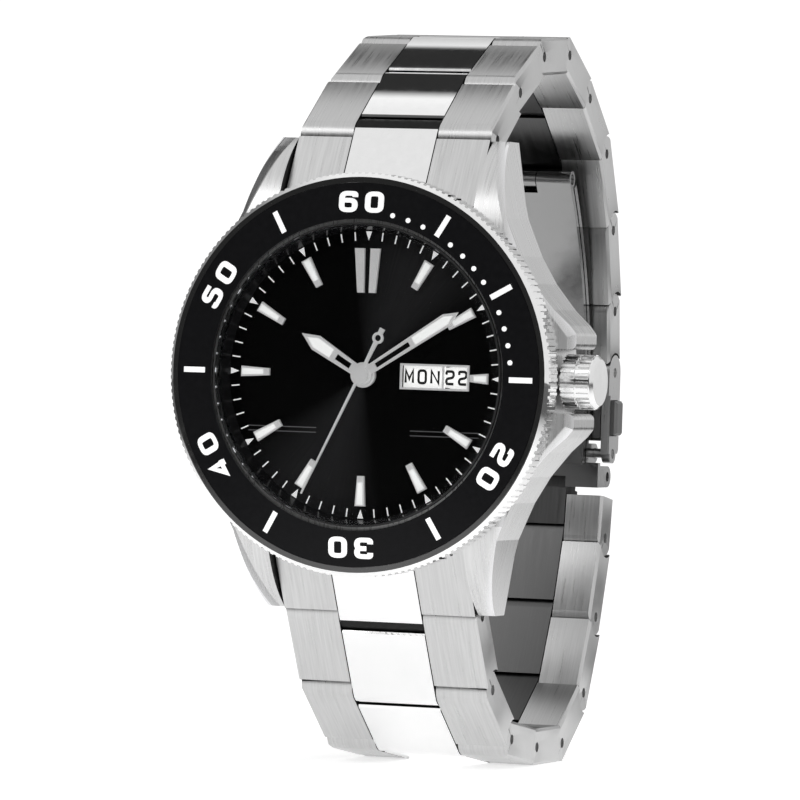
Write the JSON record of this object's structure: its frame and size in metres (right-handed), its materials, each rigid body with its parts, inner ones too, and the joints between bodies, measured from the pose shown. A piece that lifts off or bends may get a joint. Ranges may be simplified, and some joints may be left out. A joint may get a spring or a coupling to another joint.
{
  "type": "wristwatch",
  "caption": "Steel diver's wristwatch with a black turning bezel, day and date, guarded crown and a hinged link bracelet with a folding push-button clasp.",
  "frame": {"origin": "centre of the case back's flat outer face, where it rests on the wrist", "axes": "+X towards 3 o'clock and the crown, +Z towards 12 o'clock, +Y out of the case back, so the dial faces -Y"},
  "size_m": [0.0463, 0.0624, 0.0801],
  "materials": {
    "brushed_steel": "fine satin grain along the watch",
    "polished_steel": "mirror polish",
    "bezel_black": "gloss black insert",
    "dial_black": "gloss black sunburst",
    "crystal": "clear mineral crystal",
    "hand_steel": "polished",
    "disc_white": "matt white",
    "movement_steel": "rhodium plated",
    "brass": "gilt",
    "holder_plastic": "moulded",
    "seal_rubber": "matt",
    "button_steel": "dark satin"
  },
  "bodies": {
    "case": {"mid_case": "brushed_steel", "crown_tube": "polished_steel", "crystal": "crystal", "crystal_gasket": "seal_rubber", "rehaut_ring": "bezel_black", "dial": "dial_black", "hour_markers": "hand_steel", "date_window_frame": "hand_steel", "bezel_click_spring": "polished_steel", "case_back_ring": "brushed_steel", "case_back_gasket": "seal_rubber", "case_back_glass": "crystal", "movement_holder": "holder_plastic", "main_plate": "movement_steel", "train_bridge": "movement_steel", "rotor_post": "movement_steel", "end_links": "brushed_steel", "spring_bars": "polished_steel"},
    "bezel": {"bezel_ring": "polished_steel", "bezel_insert": "bezel_black"},
    "winding_slide": {"setting_lever": "movement_steel"},
    "crown": {"crown": "polished_steel", "crown_stem": "movement_steel", "crown_gasket": "seal_rubber"},
    "hour_hand": {"hour_hand": "hand_steel"},
    "minute_hand": {"minute_hand": "hand_steel"},
    "seconds_hand": {"seconds_hand": "hand_steel"},
    "date_disc": {"date_disc": "disc_white"},
    "day_disc": {"day_disc": "disc_white"},
    "balance": {"balance_wheel": "brass"},
    "pallet_fork": {"pallet_fork": "movement_steel"},
    "escape_wheel": {"escape_wheel": "movement_steel"},
    "rotor": {"rotor": "movement_steel"},
    "upper_row_1": {"upper_row_1": "brushed_steel"},
    "upper_row_2": {"upper_row_2": "brushed_steel"},
    "upper_row_3": {"upper_row_3": "brushed_steel"},
    "upper_row_4": {"upper_row_4": "brushed_steel"},
    "upper_row_5": {"upper_row_5": "brushed_steel"},
    "upper_row_6": {"upper_row_6": "brushed_steel"},
    "upper_row_7": {"upper_row_7": "brushed_steel"},
    "upper_row_8": {"upper_row_8": "brushed_steel"},
    "lower_row_1": {"lower_row_1": "brushed_steel"},
    "lower_row_2": {"lower_row_2": "brushed_steel"},
    "lower_row_3": {"lower_row_3": "brushed_steel"},
    "lower_row_4": {"lower_row_4": "brushed_steel"},
    "lower_row_5": {"lower_row_5": "brushed_steel"},
    "lower_row_6": {"lower_row_6": "brushed_steel"},
    "lower_row_7": {"lower_row_7": "brushed_steel"},
    "lower_row_8": {"lower_row_8": "brushed_steel"},
    "clasp_cover": {"clasp_cover": "brushed_steel"},
    "fold_blade_outer": {"fold_blade_outer": "polished_steel"},
    "fold_blade_inner": {"fold_blade_inner": "polished_steel"},
    "push_button_right": {"push_button_right": "button_steel"},
    "push_button_left": {"push_button_left": "button_steel"}
  },
  "joints": [
    {"name": "bezel_turn", "type": "hinge", "parent": "case", "child": "bezel", "pos_m": [0, -0.01, 0], "axis": [0, 1, 0], "continuous": true},
    {"name": "crown_pull", "type": "slide", "parent": "case", "child": "winding_slide", "axis": [1, 0, 0], "range_m": [0, 0.0016]},
    {"name": "crown_turn", "type": "hinge", "parent": "winding_slide", "child": "crown", "pos_m": [0.021, -0.0052, 0], "axis": [1, 0, 0], "continuous": true},
    {"name": "minute_hand_turn", "type": "hinge", "parent": "case", "child": "minute_hand", "pos_m": [0, -0.0104, 0], "axis": [0, 1, 0], "continuous": true},
    {"name": "hour_hand_turn", "type": "hinge", "parent": "case", "child": "hour_hand", "pos_m": [0, -0.0099, 0], "axis": [0, 1, 0], "continuous": true},
    {"name": "seconds_hand_turn", "type": "hinge", "parent": "case", "child": "seconds_hand", "pos_m": [0, -0.0109, 0], "axis": [0, 1, 0], "continuous": true},
    {"name": "escape_wheel_turn", "type": "hinge", "parent": "case", "child": "escape_wheel", "pos_m": [-0.0002, -0.0057, -0.0092], "axis": [0, 1, 0], "continuous": true},
    {"name": "date_disc_turn", "type": "hinge", "parent": "case", "child": "date_disc", "pos_m": [0, -0.0086, 0], "axis": [0, 1, 0], "continuous": true},
    {"name": "day_disc_turn", "type": "hinge", "parent": "case", "child": "day_disc", "pos_m": [0, -0.0086, 0], "axis": [0, 1, 0], "continuous": true},
    {"name": "balance_swing", "type": "hinge", "parent": "case", "child": "balance", "pos_m": [-0.0064, -0.0047, -0.0054], "axis": [0, 1, 0], "range_deg": [-135, 135]},
    {"name": "pallet_fork_rock", "type": "hinge", "parent": "case", "child": "pallet_fork", "pos_m": [-0.0032, -0.0057, -0.008], "axis": [0, 1, 0], "range_deg": [-5, 5]},
    {"name": "rotor_turn", "type": "hinge", "parent": "case", "child": "rotor", "pos_m": [0, -0.0023, 0], "axis": [0, 1, 0], "continuous": true},
    {"name": "upper_row_1_hinge", "type": "hinge", "parent": "case", "child": "upper_row_1", "pos_m": [0, -0.0002, 0.0254], "axis": [1, 0, 0], "range_deg": [0, 25]},
    {"name": "upper_row_2_hinge", "type": "hinge", "parent": "upper_row_1", "child": "upper_row_2", "pos_m": [0, 0.0075, 0.03079], "axis": [1, 0, 0], "range_deg": [0, 8]},
    {"name": "upper_row_3_hinge", "type": "hinge", "parent": "upper_row_2", "child": "upper_row_3", "pos_m": [0, 0.01588, 0.03506], "axis": [1, 0, 0], "range_deg": [0, 23]},
    {"name": "upper_row_4_hinge", "type": "hinge", "parent": "upper_row_3", "child": "upper_row_4", "pos_m": [0, 0.02525, 0.03571], "axis": [1, 0, 0], "range_deg": [0, 32]},
    {"name": "upper_row_5_hinge", "type": "hinge", "parent": "upper_row_4", "child": "upper_row_5", "pos_m": [0, 0.03355, 0.0313], "axis": [1, 0, 0], "range_deg": [0, 11]},
    {"name": "upper_row_6_hinge", "type": "hinge", "parent": "upper_row_5", "child": "upper_row_6", "pos_m": [0, 0.04086, 0.02539], "axis": [1, 0, 0], "range_deg": [0, 26]},
    {"name": "upper_row_7_hinge", "type": "hinge", "parent": "upper_row_6", "child": "upper_row_7", "pos_m": [0, 0.04483, 0.01687], "axis": [1, 0, 0], "range_deg": [0, 11]},
    {"name": "upper_row_8_hinge", "type": "hinge", "parent": "upper_row_7", "child": "upper_row_8", "pos_m": [0, 0.0471, 0.00775], "axis": [1, 0, 0], "range_deg": [0, 8]},
    {"name": "lower_row_1_hinge", "type": "hinge", "parent": "case", "child": "lower_row_1", "pos_m": [0, -0.0002, -0.0254], "axis": [-1, 0, 0], "range_deg": [0, 1]},
    {"name": "lower_row_2_hinge", "type": "hinge", "parent": "lower_row_1", "child": "lower_row_2", "pos_m": [0, 0.00464, -0.03346], "axis": [-1, 0, 0], "range_deg": [0, 22]},
    {"name": "lower_row_3_hinge", "type": "hinge", "parent": "lower_row_2", "child": "lower_row_3", "pos_m": [0, 0.01215, -0.03911], "axis": [-1, 0, 0], "range_deg": [0, 29]},
    {"name": "lower_row_4_hinge", "type": "hinge", "parent": "lower_row_3", "child": "lower_row_4", "pos_m": [0, 0.02146, -0.04042], "axis": [-1, 0, 0], "range_deg": [0, 8]},
    {"name": "lower_row_5_hinge", "type": "hinge", "parent": "lower_row_4", "child": "lower_row_5", "pos_m": [0, 0.03086, -0.04042], "axis": [-1, 0, 0], "range_deg": [0, 34]},
    {"name": "lower_row_6_hinge", "type": "hinge", "parent": "lower_row_5", "child": "lower_row_6", "pos_m": [0, 0.03865, -0.03517], "axis": [-1, 0, 0], "range_deg": [0, 29]},
    {"name": "lower_row_7_hinge", "type": "hinge", "parent": "lower_row_6", "child": "lower_row_7", "pos_m": [0, 0.04292, -0.02679], "axis": [-1, 0, 0], "range_deg": [0, 7]},
    {"name": "lower_row_8_hinge", "type": "hinge", "parent": "lower_row_7", "child": "lower_row_8", "pos_m": [0, 0.04613, -0.01796], "axis": [-1, 0, 0], "range_deg": [0, 12]},
    {"name": "clasp_cover_hinge", "type": "hinge", "parent": "upper_row_8", "child": "clasp_cover", "pos_m": [0, 0.04784, 0.00078], "axis": [1, 0, 0], "range_deg": [0, 6]},
    {"name": "fold_blade_outer_hinge", "type": "hinge", "parent": "clasp_cover", "child": "fold_blade_outer", "pos_m": [0, 0.04784, -0.00842], "axis": [1, 0, 0], "range_deg": [0, 45]},
    {"name": "fold_blade_inner_hinge", "type": "hinge", "parent": "fold_blade_outer", "child": "fold_blade_inner", "pos_m": [0, 0.03669, 0.0223], "axis": [-1, 0, 0], "range_deg": [0, 76.5]},
    {"name": "push_button_right_press", "type": "slide", "parent": "clasp_cover", "child": "push_button_right", "axis": [-1, 0, 0], "range_m": [0, 0.0006], "stiffness_N_per_m": 800},
    {"name": "push_button_left_press", "type": "slide", "parent": "clasp_cover", "child": "push_button_left", "axis": [1, 0, 0], "range_m": [0, 0.0006], "stiffness_N_per_m": 800}
  ],
  "couplings": [
    {"joint": "hour_hand_turn", "follows": "minute_hand_turn", "ratio": 0.083333},
    {"joint": "pallet_fork_rock", "follows": "balance_swing", "ratio": -0.037037},
    {"joint": "upper_row_1_hinge", "follows": "upper_row_4_hinge", "ratio": 0.78125},
    {"joint": "upper_row_2_hinge", "follows": "upper_row_4_hinge", "ratio": 0.25},
    {"joint": "upper_row_3_hinge", "follows": "upper_row_4_hinge", "ratio": 0.71875},
    {"joint": "upper_row_5_hinge", "follows": "upper_row_4_hinge", "ratio": 0.34375},
    {"joint": "upper_row_6_hinge", "follows": "upper_row_4_hinge", "ratio": 0.8125},
    {"joint": "upper_row_7_hinge", "follows": "upper_row_4_hinge", "ratio": 0.34375},
    {"joint": "upper_row_8_hinge", "follows": "upper_row_4_hinge", "ratio": 0.25},
    {"joint": "lower_row_1_hinge", "follows": "lower_row_5_hinge", "ratio": 0.029412},
    {"joint": "lower_row_2_hinge", "follows": "lower_row_5_hinge", "ratio": 0.64706},
    {"joint": "lower_row_3_hinge", "follows": "lower_row_5_hinge", "ratio": 0.85294},
    {"joint": "lower_row_4_hinge", "follows": "lower_row_5_hinge", "ratio": 0.23529},
    {"joint": "lower_row_6_hinge", "follows": "lower_row_5_hinge", "ratio": 0.85294},
    {"joint": "lower_row_7_hinge", "follows": "lower_row_5_hinge", "ratio": 0.20588},
    {"joint": "lower_row_8_hinge", "follows": "lower_row_5_hinge", "ratio": 0.35294},
    {"joint": "clasp_cover_hinge", "follows": "upper_row_4_hinge", "ratio": 0.1875},
    {"joint": "fold_blade_inner_hinge", "follows": "fold_blade_outer_hinge", "ratio": 1.7}
  ]
}
